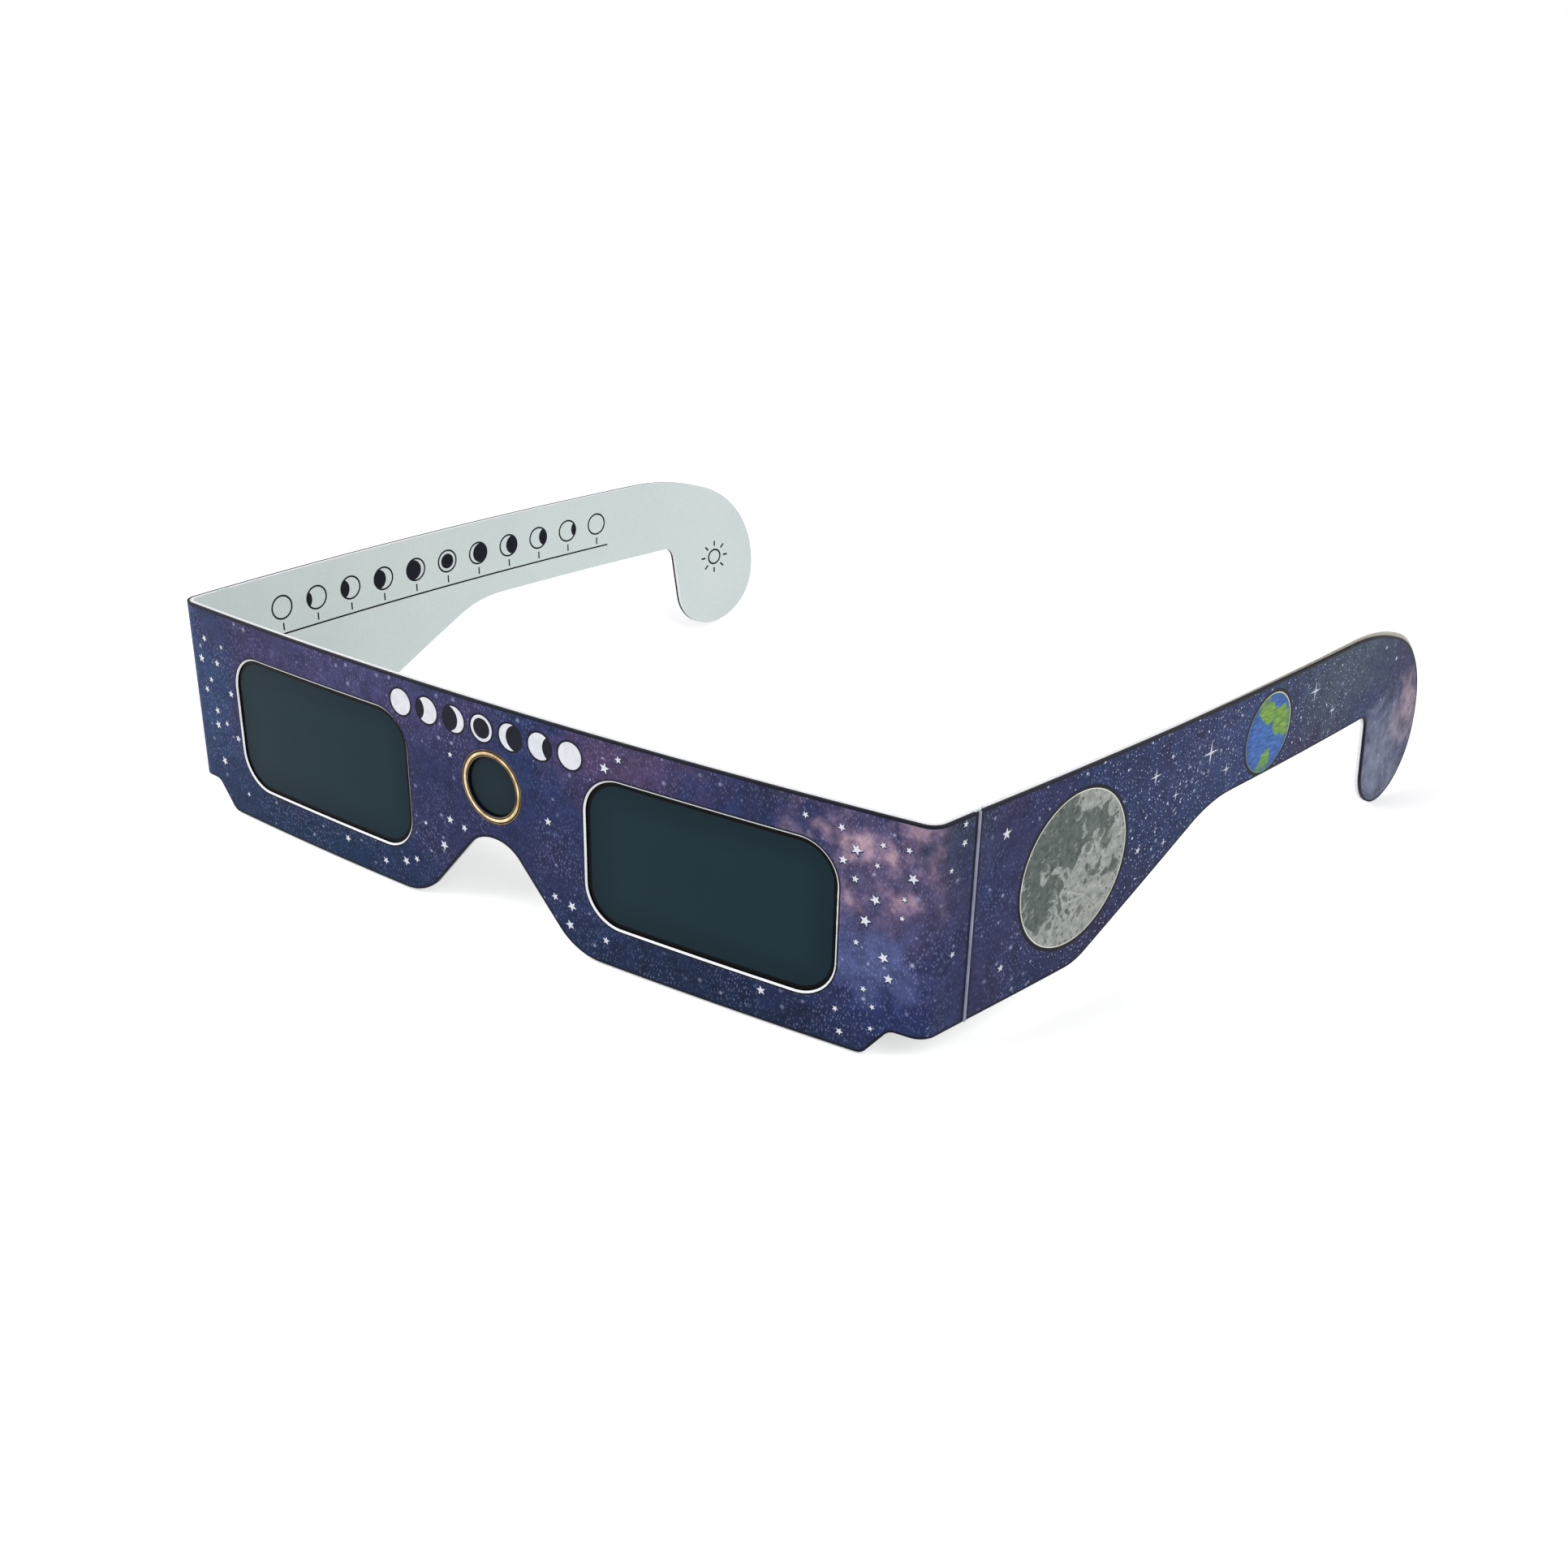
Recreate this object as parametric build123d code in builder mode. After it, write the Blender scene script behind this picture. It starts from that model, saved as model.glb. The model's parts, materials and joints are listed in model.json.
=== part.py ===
from build123d import *

import os
from math import cos, radians, sin, sqrt, tan

# Paper eclipse glasses: a card front with two dark filter windows, and two card arms that fold at a crease.
# Everything is in millimetres. X runs along the front, Y from the front back to the ear hooks, Z is up.
# The origin is under the middle of the whole object, on the surface that it stands on.
# Left and right are as seen by someone who looks at the printed front. A depth is counted from the printed
# face inwards, and a run from the fold crease along the arm.


# The front, measured on its printed face
front_width = 153.4
front_height = 38.1
front_bow = 3.54
corner_radius = 3.0

# The plies of the laminate, from the printed face inwards
printed_ply = 0.43
film_ply = 0.12
liner_ply = 0.55

# The lower edge of the front: two lobes, a step up to each corner, and the arch over the nose
step_inset = 5.4
step_run = 4.1
step_rise = 5.1
step_radius = 2.0
nose_width = 32.5
nose_height = 15.2
nose_slope = 49.5
nose_foot_radius = 10.5
nose_crown_radius = 6.8

# The two lens windows, and the small round one over the nose
bridge_width = 37.5
side_margin = 14.3
top_margin = 6.6
bottom_margin = 6.95
window_radius = 6.4
round_window_radius = 4.95
nose_wall = 3.1

# The dark filter film, laid in pockets of the adhesive sheet
film_overlap = 3.0
disc_overlap = 1.5
pocket_clearance = 0.2
glue_inset = 0.5
glue_wall = 0.8

# The gold foil ring pressed on round the small window
ring_inset = 0.15
ring_width = 0.75
ring_thickness = 0.1

# The return behind each corner, and the crease that the arm folds on
tab_length = 8.4
bead_radius = 0.25
bead_clearance = 0.05
groove_angle = 52.0

# The arms
arm_length = 137.5
arm_drop = 16.15
slope_start = 25.7
slope_angle = 26.5
slope_foot_radius = 11.0
slope_head_radius = 25.0
crown_radius = 57.6
crown_turn = 20.0
back_straight = 1.0
hook_rise = 1.4
hook_radius = 11.9
hook_tip_radius = 9.6
hook_lean = 9.3
hook_throat_radius = 3.0

# How each arm stands in the pose of the photograph: outward splay of tab and arm, the droop of the arm's
# rear end, and the radius of its inward bend
sides = ("left", "right")
hand = {"left": -1, "right": 1}
tab_splay_angle = {"left": -1.3, "right": 12.9}
arm_splay_angle = {"left": -1.7, "right": 12.8}
arm_droop_angle = {"left": 0.0, "right": 0.6}
left_bend_radius = 610.0
right_bend_radius = 1471.0
arm_bend_radius = {"left": left_bend_radius, "right": right_bend_radius}

# How far a cutting shape runs past what it cuts
overrun = 5.0

# Sizes that follow from those above
half_width = front_width / 2
front_radius = (half_width**2 + front_bow**2) / (2 * front_bow)
front_centre = Vector(0, front_radius - front_bow)
glue_depth = printed_ply
liner_depth = printed_ply + film_ply
card_thickness = printed_ply + film_ply + liner_ply
crease_gap = bead_radius + bead_clearance
window_width = half_width - bridge_width / 2 - side_margin
window_height = front_height - top_margin - bottom_margin
ring_inner_radius = round_window_radius + ring_inset
ring_outer_radius = ring_inner_radius + ring_width
window_x = bridge_width / 2 + window_width / 2
window_z = bottom_margin + window_height / 2
window_centre = {
    "left": (-window_x, window_z),
    "right": (window_x, window_z),
    "centre": (0, nose_height + nose_wall + ring_outer_radius),
}
narrow_z = front_height - arm_drop
front_reach = tab_length + front_bow + overrun
arm_reach = arm_length**2 / (2 * min(arm_bend_radius.values())) + card_thickness + overrun


def direction(side, splay):
    """The way an arm or tab runs back from the front, and the way into the head space from it."""
    along = Vector(hand[side] * sin(radians(splay)), cos(radians(splay)))
    inward = Vector(-hand[side] * cos(radians(splay)), sin(radians(splay)))
    return along, inward


def corner_point(side, depth):
    """Where the front and its tab would meet in a sharp corner, at a depth."""
    along, inward = direction(side, tab_splay_angle[side])
    start = Vector(hand[side] * half_width, 0) + inward * depth
    spoke = start - front_centre
    reach = spoke.dot(along)
    miss = spoke.dot(spoke) - (front_radius - depth) ** 2
    return start - along * (reach + sqrt(reach**2 - miss))


def crease_point(side):
    """The fold axis in plan, on the printed face."""
    along, inward = direction(side, tab_splay_angle[side])
    return Vector(hand[side] * half_width, 0) + along * tab_length


def groove_run(depth):
    """How far a ply stays back from the fold axis: the laminate is cut in a V, open to the inside."""
    return crease_gap + depth * tan(radians(groove_angle))


def tab_end(side, depth):
    """The end of a tab's ply, beside the crease."""
    along, inward = direction(side, tab_splay_angle[side])
    return crease_point(side) + inward * depth - along * groove_run(depth)


def arm_point(side, run, depth):
    """A point of an arm's gently bent plan."""
    along, inward = direction(side, arm_splay_angle[side])
    bend = arm_bend_radius[side]
    return crease_point(side) + along * run + inward * (bend - sqrt((bend - depth) ** 2 - run**2))


def wrap_plan(near, far):
    """Plan of one ply of the front, carried round both corners to the creases."""
    with BuildSketch() as plan:
        with BuildLine():
            for depth in (near, far):
                ends = [corner_point(side, depth) for side in sides]
                ThreePointArc(ends[0], (0, depth - front_bow), ends[1])
            for side in sides:
                Line(corner_point(side, near), tab_end(side, near))
                Line(tab_end(side, near), tab_end(side, far))
                Line(tab_end(side, far), corner_point(side, far))
        make_face()
        for side in sides:
            for depth in (near, far):
                bend = plan.vertices().sort_by_distance(corner_point(side, depth))[0]
                fillet(bend, radius=corner_radius - depth)
    return plan.sketch


def arm_plan(side, near, far, tip):
    """Plan of one ply of an arm, from the groove at the crease to a run along it."""
    with BuildSketch() as plan:
        with BuildLine():
            arcs = []
            for depth in (near, far):
                runs = (groove_run(depth), tip / 2, tip)
                arcs.append(ThreePointArc(*[arm_point(side, run, depth) for run in runs]))
            Line(arcs[0] @ 0, arcs[1] @ 0)
            Line(arcs[0] @ 1, arcs[1] @ 1)
        make_face()
    return plan.sketch


def front_outline():
    """The front seen from ahead: straight top, stepped ends, and the nose arch between two lobes."""
    step_top = half_width - step_inset
    lobe_end = step_top - step_run
    nose_foot = nose_width / 2
    nose_crown = nose_foot - nose_height / tan(radians(nose_slope))
    edge = half_width + tab_length + overrun
    right = [(nose_crown, nose_height), (nose_foot, 0), (lobe_end, 0), (step_top, step_rise)]
    radii = [nose_crown_radius, nose_foot_radius, step_radius, step_radius]
    left = [(-x, z) for x, z in reversed(right)]
    ends = ((-edge, step_rise), (edge, step_rise))
    with BuildSketch() as outline:
        with BuildLine():
            FilletPolyline(ends[0], *left, *right, ends[1], radius=radii[::-1] + radii)
            Polyline(ends[1], (edge, front_height), (-edge, front_height), ends[0])
        make_face()
    return outline.sketch


def arm_outline():
    """An arm seen from its side, with its root at the crease: slope, narrow part and ear hook."""
    slope_run = (narrow_z - step_rise) / tan(radians(slope_angle))
    shoulder_head = front_height - crown_radius * (1 - cos(radians(crown_turn)))
    shoulder_foot = hook_rise + hook_radius + back_straight
    shoulder_radius = (shoulder_head - shoulder_foot) / cos(radians(crown_turn))
    crown_run = crown_radius * sin(radians(crown_turn)) + shoulder_radius * (1 - sin(radians(crown_turn)))
    tip_run = arm_length - hook_radius
    tip_turn = radians(90 - hook_lean)
    tip_drop = hook_tip_radius * (1 - cos(tip_turn))
    throat_foot = (tip_run - hook_tip_radius * sin(tip_turn), hook_rise + tip_drop)
    throat_head = throat_foot[0] - (narrow_z - throat_foot[1]) * tan(radians(hook_lean))
    with BuildSketch() as outline:
        with BuildLine():
            FilletPolyline(
                (0, step_rise),
                (slope_start, step_rise),
                (slope_start + slope_run, narrow_z),
                (throat_head, narrow_z),
                throat_foot,
                radius=[slope_foot_radius, slope_head_radius, hook_throat_radius],
            )
            Polyline((0, step_rise), (0, front_height), (arm_length - crown_run, front_height))
            crown = JernArc((arm_length - crown_run, front_height), (1, 0), crown_radius, -crown_turn)
            shoulder = JernArc(crown @ 1, crown % 1, shoulder_radius, crown_turn - 90)
            back = Line(shoulder @ 1, (arm_length, hook_rise + hook_radius))
            heel = JernArc(back @ 1, back % 1, hook_radius, -90)
            JernArc(heel @ 1, heel % 1, hook_tip_radius, hook_lean - 90)
        make_face()
    return outline.sketch


def front_inset(inset):
    """The front's outline drawn in from its edge."""
    with BuildSketch() as outline:
        add(front_outline())
        offset(amount=-inset, mode=Mode.REPLACE)
    return outline.sketch


def film_shape(window, clearance):
    """One piece of filter film, or with a clearance its pocket, kept inside a wall of adhesive."""
    growth = 2 * (film_overlap + clearance)
    wall = glue_inset + glue_wall + pocket_clearance - clearance
    with BuildSketch() as film:
        with Locations(window_centre[window]):
            if window == "centre":
                Circle(round_window_radius + disc_overlap + clearance)
            else:
                Rectangle(window_width + growth, window_height + growth)
        add(front_inset(wall), mode=Mode.INTERSECT)
    return film.sketch


# The plan of the whole object, built once to find the middle that the frame is set on
with BuildSketch() as footprint:
    add(wrap_plan(0, card_thickness))
    for side in sides:
        add(arm_plan(side, 0, card_thickness, arm_length))
        with Locations(crease_point(side)):
            Circle(bead_radius)
    with Locations((0, -front_bow)):
        Circle(ring_thickness)
middle = footprint.sketch.bounding_box().center()

floor = Plane((-middle.X, -middle.Y, 0))
front_view = Plane(floor.origin, x_dir=(1, 0, 0), z_dir=(0, -1, 0))
arm_view = {}
for side in sides:
    along, inward = direction(side, arm_splay_angle[side])
    crease_top = floor.origin + crease_point(side) + Vector(0, 0, front_height)
    level_view = Plane(crease_top, x_dir=along, z_dir=along.cross(Vector(0, 0, 1)))
    arm_view[side] = level_view.rotated((0, 0, -arm_droop_angle[side]))

os.makedirs("parts", exist_ok=True)

# The two card plies of the front: the printed one outside, and the white liner inside
front_plies = {
    "front_printed_card": (0, printed_ply),
    "front_white_liner": (liner_depth, card_thickness),
}
for name, (near, far) in front_plies.items():
    with BuildPart() as front_ply:
        with BuildSketch(floor):
            add(wrap_plan(near, far))
        extrude(amount=front_height)
        with BuildSketch(front_view):
            add(front_outline())
            with Locations(window_centre["left"], window_centre["right"]):
                RectangleRounded(window_width, window_height, window_radius, mode=Mode.SUBTRACT)
            with Locations(window_centre["centre"]):
                Circle(round_window_radius, mode=Mode.SUBTRACT)
        extrude(amount=front_reach, both=True, mode=Mode.INTERSECT)
    front_ply.part.label = name
    export_step(front_ply.part, f"parts/{name}.step")

# The adhesive sheet between them, cut away where the film lies
with BuildPart() as front_glue_sheet:
    with BuildSketch(floor):
        add(wrap_plan(glue_depth, liner_depth))
    extrude(amount=front_height)
    with BuildSketch(front_view):
        add(front_inset(glue_inset))
        for window in window_centre:
            add(film_shape(window, pocket_clearance), mode=Mode.SUBTRACT)
    extrude(amount=front_reach, both=True, mode=Mode.INTERSECT)
front_glue_sheet.part.label = "front_glue_sheet"
export_step(front_glue_sheet.part, "parts/front_glue_sheet.step")

# The dark filter film behind each window
for window in window_centre:
    with BuildPart() as filter_film:
        with BuildSketch(floor):
            add(wrap_plan(glue_depth, liner_depth))
        extrude(amount=front_height)
        with BuildSketch(front_view):
            add(film_shape(window, 0))
        extrude(amount=front_reach, both=True, mode=Mode.INTERSECT)
    filter_film.part.label = f"{window}_filter_film"
    export_step(filter_film.part, f"parts/{window}_filter_film.step")

# The gold foil ring on the printed face, round the small window
with BuildPart() as centre_foil_ring:
    with BuildSketch(floor):
        add(wrap_plan(-ring_thickness, 0))
    extrude(amount=front_height)
    with BuildSketch(front_view):
        with Locations(window_centre["centre"]):
            Circle(ring_outer_radius)
            Circle(ring_inner_radius, mode=Mode.SUBTRACT)
    extrude(amount=front_reach, both=True, mode=Mode.INTERSECT)
centre_foil_ring.part.label = "centre_foil_ring"
export_step(centre_foil_ring.part, "parts/centre_foil_ring.step")

# The crease of each arm: card fibres rolled into a slim bead on the fold axis
for side in sides:
    with BuildPart() as fold_bead:
        with BuildSketch(floor.offset(step_rise)):
            with Locations(crease_point(side)):
                Circle(bead_radius)
        extrude(amount=front_height - step_rise)
    fold_bead.part.label = f"{side}_fold_bead"
    export_step(fold_bead.part, f"parts/{side}_fold_bead.step")

# The arms, laminated like the front: printed card, adhesive sheet set back from the edge, white liner
arm_plies = {
    "printed_card": (0, printed_ply),
    "glue_sheet": (glue_depth, liner_depth),
    "white_liner": (liner_depth, card_thickness),
}
for side in sides:
    for ply, (near, far) in arm_plies.items():
        with BuildPart() as arm_ply:
            with BuildSketch(floor):
                add(arm_plan(side, near, far, arm_length + overrun))
            extrude(amount=front_height)
            with BuildSketch(arm_view[side]):
                with Locations((0, -front_height)):
                    add(arm_outline())
                if ply == "glue_sheet":
                    offset(amount=-glue_inset, mode=Mode.REPLACE)
            extrude(amount=arm_reach, both=True, mode=Mode.INTERSECT)
        arm_ply.part.label = f"{side}_arm_{ply}"
        export_step(arm_ply.part, f"parts/{side}_arm_{ply}.step")

for side in sides:
    hinge = floor.origin + crease_point(side)
    print(f"{side} fold axis at x {hinge.X:.3f}, y {hinge.Y:.3f}")
print(f"middle of the front's printed face at x {floor.origin.X:.3f}, y {floor.origin.Y - front_bow:.3f}")
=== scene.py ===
import cmath
import json
from functools import partial
from math import acos, asin, ceil, copysign, cos, pi, radians, sin, sqrt, tan
from types import SimpleNamespace

import bpy
import numpy as np
from mathutils import Matrix, Vector
from mathutils.geometry import delaunay_2d_cdt


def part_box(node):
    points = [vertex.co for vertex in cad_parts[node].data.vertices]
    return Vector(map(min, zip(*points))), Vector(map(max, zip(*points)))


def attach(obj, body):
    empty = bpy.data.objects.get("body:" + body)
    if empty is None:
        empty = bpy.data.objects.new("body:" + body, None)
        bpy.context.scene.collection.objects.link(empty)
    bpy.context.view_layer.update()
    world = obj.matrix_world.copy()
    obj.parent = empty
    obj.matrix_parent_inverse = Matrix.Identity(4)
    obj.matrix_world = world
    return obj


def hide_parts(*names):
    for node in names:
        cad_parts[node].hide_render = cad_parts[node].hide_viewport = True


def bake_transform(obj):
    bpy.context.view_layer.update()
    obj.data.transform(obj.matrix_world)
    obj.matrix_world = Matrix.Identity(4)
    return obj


# Paper eclipse glasses. Sizes are in millimetres and the scene is in metres, in the frame of the solids.
# Flat places are complex numbers, run + 1j * height, as on the unfolded card: the run is counted from the
# nose along the printed face, to the right as seen from ahead, over the crease and on along the arm.
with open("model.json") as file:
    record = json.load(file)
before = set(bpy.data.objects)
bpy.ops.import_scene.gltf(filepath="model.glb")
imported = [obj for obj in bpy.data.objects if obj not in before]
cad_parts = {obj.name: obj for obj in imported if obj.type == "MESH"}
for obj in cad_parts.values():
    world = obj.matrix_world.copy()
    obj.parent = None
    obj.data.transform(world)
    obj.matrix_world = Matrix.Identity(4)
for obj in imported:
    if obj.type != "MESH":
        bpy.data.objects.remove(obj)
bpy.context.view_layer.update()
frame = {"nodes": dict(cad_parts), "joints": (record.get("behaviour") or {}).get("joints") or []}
mm = 0.001


# The front's printed card: 0.43 mm coated board, printed with a night sky and die cut. It bows gently, and
# a tab at each end is carried round a small bend to the crease. The press leaves a fine black line along
# every cut, and a lip round each window where the board's white core shows.
card_width = 153.4
card_height = 38.1
card_bow = 3.54
corner_bend = 3.0
tab_length = 8.4
tab_splay = {-1: radians(-1.3), 1: radians(12.9)}
score_gap = 0.3
score_slant = tan(radians(52))
printed_ply = 0.43

step_inset = 5.4
step_run = 4.1
step_rise = 5.1
step_radius = 2.0
nose_half = 16.25
nose_height = 15.2
nose_slope = tan(radians(49.5))
nose_foot_radius = 10.5
nose_crown_radius = 6.8

window_place = 40.575 + 19.225j
window_size = 43.65 + 24.55j
window_radius = 6.4
round_place = 24.15j
round_radius = 4.95
round_ink = 1.36

outline_ink = 0.42
window_ink = 0.26
lip_width = 0.29
lip_depth = 0.22

star_margin = 0.85
star_share = 0.55
star_crowds = (
    # run, spread, share
    (0, 13, 0.4),
    (-74, 11, 0.5),
    (72, 10, 0.5),
)

arc_step = 0.35
edge_step = 2.0
bend_step = 0.35
row_step = 2.2
column_step = 2.5
tab_step = 1.6
bend_margin = 1.2
crease_margin = 1.0
touching = 1e-4
weld = 1e-7
sharp_angle = radians(35)

sides = (-1, 1)
side_name = {-1: "left", 1: "right"}
half_width = card_width / 2
bow_radius = (half_width**2 + card_bow**2) / (2 * card_bow)
bow_centre = 1j * (bow_radius - card_bow)
film_low, film_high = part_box("centre_filter_film")
nose = complex((film_low.x + film_high.x) / 2 / mm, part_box("front_printed_card")[0].y / mm + card_bow)


def corner(side):
    """The bend between bow and tab, from above as if on the right, and the runs where it starts and ends."""
    splay = tab_splay[side]
    along = 1j * cmath.exp(-1j * splay)
    spoke = half_width + 1j * along * corner_bend - bow_centre
    reach = (spoke * along.conjugate()).real
    offset = -reach - sqrt(reach**2 - abs(spoke) ** 2 + (bow_radius - corner_bend) ** 2)
    angle = cmath.phase(1j * (spoke + along * offset))
    start = angle * bow_radius
    end = start + (pi / 2 - splay - angle) * corner_bend
    crease = end + tab_length - offset
    centre = bow_centre + spoke + along * offset
    return SimpleNamespace(along=along, centre=centre, angle=angle, start=start, end=end, crease=crease)


corners = {side: corner(side) for side in sides}


def laid(plan, flat):
    """Places whose plan, seen from above, is complex too, at the heights of flat points."""
    return np.column_stack([plan.real, plan.imag, flat.imag])


def front_place(flat, depth):
    """Lays flat points on the bowed front and its tabs, at a depth behind the printed face."""
    plan = np.empty(len(flat), complex)
    for side, bend in corners.items():
        mine = (flat.real >= 0) == (side > 0)
        run = np.abs(flat.real[mine])
        deep = np.broadcast_to(depth, flat.shape)[mine]
        bow = bow_centre - 1j * (bow_radius - deep) * np.exp(1j * run / bow_radius)
        swing = bend.angle + (np.clip(run, bend.start, bend.end) - bend.start) / corner_bend
        straight = bend.crease - bend.end - score_gap
        past = np.clip(run - bend.end, 0, None) * (straight - deep * score_slant) / straight
        tab = bend.centre - 1j * (corner_bend - deep) * np.exp(1j * swing) + bend.along * past
        spots = np.where(run <= bend.start, bow, tab)
        plan[mine] = nose + side * spots.real + 1j * spots.imag
    return laid(plan, flat)


def along_bow(x):
    """The run on the bow of a place that is x from the nose seen from ahead."""
    return bow_radius * asin(x / bow_radius)


def rounded(points, radii):
    """A closed flat path through points, each rounded to its radius."""
    path = []
    neighbours = zip(points[-1:] + points[:-1], points, points[1:] + points[:1])
    for (before, point, after), radius in zip(neighbours, radii):
        arrive = (point - before) / abs(point - before)
        turn = cmath.phase((after - point) / arrive)
        start = point - arrive * radius * abs(tan(turn / 2))
        centre = start + 1j * arrive * copysign(radius, turn)
        steps = ceil(abs(turn) * radius / arc_step)
        for step in range(steps + 1):
            path.append(centre + (start - centre) * cmath.exp(1j * turn * step / max(steps, 1)))
    return path


def circle(centre, radius):
    """A closed circle."""
    count = ceil(2 * pi * radius / arc_step)
    return [centre + cmath.rect(radius, 2 * pi * index / count) for index in range(count)]


def window_path(side):
    """One lens window, a rounded oblong."""
    middle = side * along_bow(window_place.real) + 1j * window_place.imag
    half = window_size / 2
    points = [middle - half, middle + half.conjugate(), middle + half, middle - half.conjugate()]
    return rounded(points, [window_radius] * 4)


def front_path(end_left, end_right):
    """The front's outline: straight top, stepped ends, and the nose arch between two lobes."""
    step_top = along_bow(half_width - step_inset)
    lobe_end = along_bow(half_width - step_inset - step_run)
    crown = nose_half - nose_height / nose_slope
    right = [crown + 1j * nose_height, nose_half + 0j, lobe_end + 0j, step_top + 1j * step_rise]
    left = [-point.conjugate() for point in reversed(right)]
    radii = [nose_crown_radius, nose_foot_radius, step_radius, step_radius]
    ends = [end_right + 1j * step_rise, end_right + 1j * card_height]
    ends += [-end_left + 1j * card_height, -end_left + 1j * step_rise]
    return rounded(left + right + ends, radii[::-1] + radii + [0] * 4)


def spaced(path, columns):
    """A closed path whose long straight runs are cut at the columns they cross, or in even steps."""
    points = []
    for start, end in zip(path, path[1:] + path[:1]):
        span = end - start
        count = ceil(abs(span) / edge_step)
        shares = [index / count for index in range(1, count)]
        if shares and abs(span.imag) < abs(span.real) / 5:
            crossed = (columns - start.real) / span.real
            shares = sorted(crossed[(crossed > 0.02) & (crossed < 0.98)])
        points += [start] + [start + span * share for share in shares]
    return points


def grown(path, width):
    """A closed path moved outwards by a width, or inwards by a negative one."""
    points = np.array(path)
    after = np.roll(points, -1) - points
    after /= np.abs(after)
    area = (np.roll(points, -1) * points.conj()).imag.sum()
    outward = -1j if area > 0 else 1j
    normal = (np.roll(after, 1) + after) * outward
    normal /= np.abs(normal)
    miter = (normal * (after * outward).conj()).real
    return list(points + normal * width / np.maximum(miter, 0.3))


def inside(points, path):
    """Which flat points lie inside a closed path."""
    within = np.zeros(len(points), bool)
    for start, end in zip(path, path[1:] + path[:1]):
        if start.imag == end.imag:
            continue
        crosses = (start.imag > points.imag) != (end.imag > points.imag)
        share = (points.imag - start.imag) / (end.imag - start.imag)
        within ^= crosses & (points.real < start.real + share * (end.real - start.real))
    return within


def shore_gap(points, shore):
    """How far each flat point lies from the nearest of some others."""
    return np.array([np.abs(shore - point).min() for point in points])


def flat_mesh(loops, columns):
    """Triangles of the plane with every loop as an edge, and a grid of columns and rows between them."""
    ring = np.concatenate(loops)
    grid = (columns[:, None] + 1j * np.arange(row_step, card_height, row_step)).ravel()
    grid = grid[inside(grid, loops[0]) & (shore_gap(grid, ring) > arc_step)]
    edges = []
    for loop in loops:
        first, count = len(edges), len(loop)
        edges += [(first + index, first + (index + 1) % count) for index in range(count)]
    vectors = [Vector((point.real, point.imag)) for point in np.concatenate([ring, grid])]
    places, _, triangles, *_ = delaunay_2d_cdt(vectors, edges, [], 0, weld)
    return np.array([complex(*place) for place in places]), np.array(triangles)


def star_crowding(flat):
    """How closely the printed stars lie, from 0 to 1: closest at the nose and the ends, none on a bend."""
    crowding = np.full(len(flat), star_share)
    for run, spread, share in star_crowds:
        crowding += share * np.exp(-(((flat.real - run) / spread) ** 2))
    for side, bend in corners.items():
        run = flat.real * side
        for start, end in ((bend.start, bend.end), (bend.crease, bend.crease)):
            crowding[(run > start - star_margin) & (run < end + star_margin)] = 0
    return np.minimum(crowding, 1)


def board(name, form, depths, materials, holes=(), marks=(), border=0.0):
    """One ply of card, its face at the first depth. Its form is its outline, its grid's columns and how it is
    laid in place. Material 0 is the face, 1 the ink and 2 the cut edge. A hole is a path with the widths of
    its lip and of its ink line, and a mark a path and its material."""
    outline, columns, place = form
    near, far = depths
    outline = spaced(outline, columns)
    zones = [(outline, 1 if border else 0)]
    if border:
        zones.append((grown(outline, -border), 0))
    zones += [(spaced(path, columns), zone) for path, zone in marks]
    holes = [(spaced(path, columns), lip, line) for path, lip, line in holes]
    for path, lip, line in holes:
        zones.append((grown(path, lip + line), 1))
        if lip:
            zones.append((grown(path, lip), 2))
        zones.append((path, -1))
    flat, triangles = flat_mesh([path for path, _ in zones], columns)
    middles = flat[triangles].mean(1)
    zone_of = np.full(len(middles), -1)
    for path, zone in zones:
        zone_of[inside(middles, path)] = zone
    zone_of[~inside(middles, outline)] = -1
    used, triangles = np.unique(triangles[zone_of >= 0], return_inverse=True)
    flat = flat[used]
    triangles = triangles.reshape(-1, 3)
    zone_of = list(zone_of[zone_of >= 0])
    if near > far:
        triangles = triangles[:, ::-1]

    # The lip of a hole is rounded over by the die, so its inner edge is sunk
    sunk = np.zeros(len(flat))
    for path, lip, _ in holes:
        if lip:
            sunk[shore_gap(flat, np.array(path)) < touching] = lip_depth
    edges = {tuple(edge) for triangle in triangles for edge in zip(triangle, np.roll(triangle, -1))}
    rim = sorted(edge for edge in edges if edge[::-1] not in edges)
    count = len(flat)
    faces = triangles.tolist() + (triangles[:, ::-1] + count).tolist()
    faces += [[int(a), int(a) + count, int(b) + count, int(b)] for a, b in rim]
    # A bordered card's cut walls are black ink: painted shade along each cut and down each window's wall
    zone_of += [2] * len(triangles) + [1 if border else 2] * len(rim)
    mesh = new_mesh(name, np.concatenate([place(flat, near + sunk), place(flat, far)]), faces, *materials)
    mesh.polygons.foreach_set("material_index", np.array(zone_of, np.int32))
    vertex = np.zeros(len(mesh.loops), np.int32)
    mesh.loops.foreach_get("vertex_index", vertex)
    spot = flat[vertex % count]
    mesh.uv_layers.new(name="flat_mm").data.foreach_set("uv", np.stack([spot.real, spot.imag], 1).ravel())

    # Room for the printed stars: none on the back, near a cut or on a mark
    room = np.clip(shore_gap(flat, np.concatenate([path for path, _ in zones])) / star_margin - 1, 0, 1)
    for path, zone in zones[1:]:
        if zone:
            room[inside(flat, path)] = 0
    room = np.concatenate([room * star_crowding(flat), np.zeros(count)])
    mesh.attributes.new("star_room", "FLOAT", "POINT").data.foreach_set("value", room)
    return link(mesh)


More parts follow.
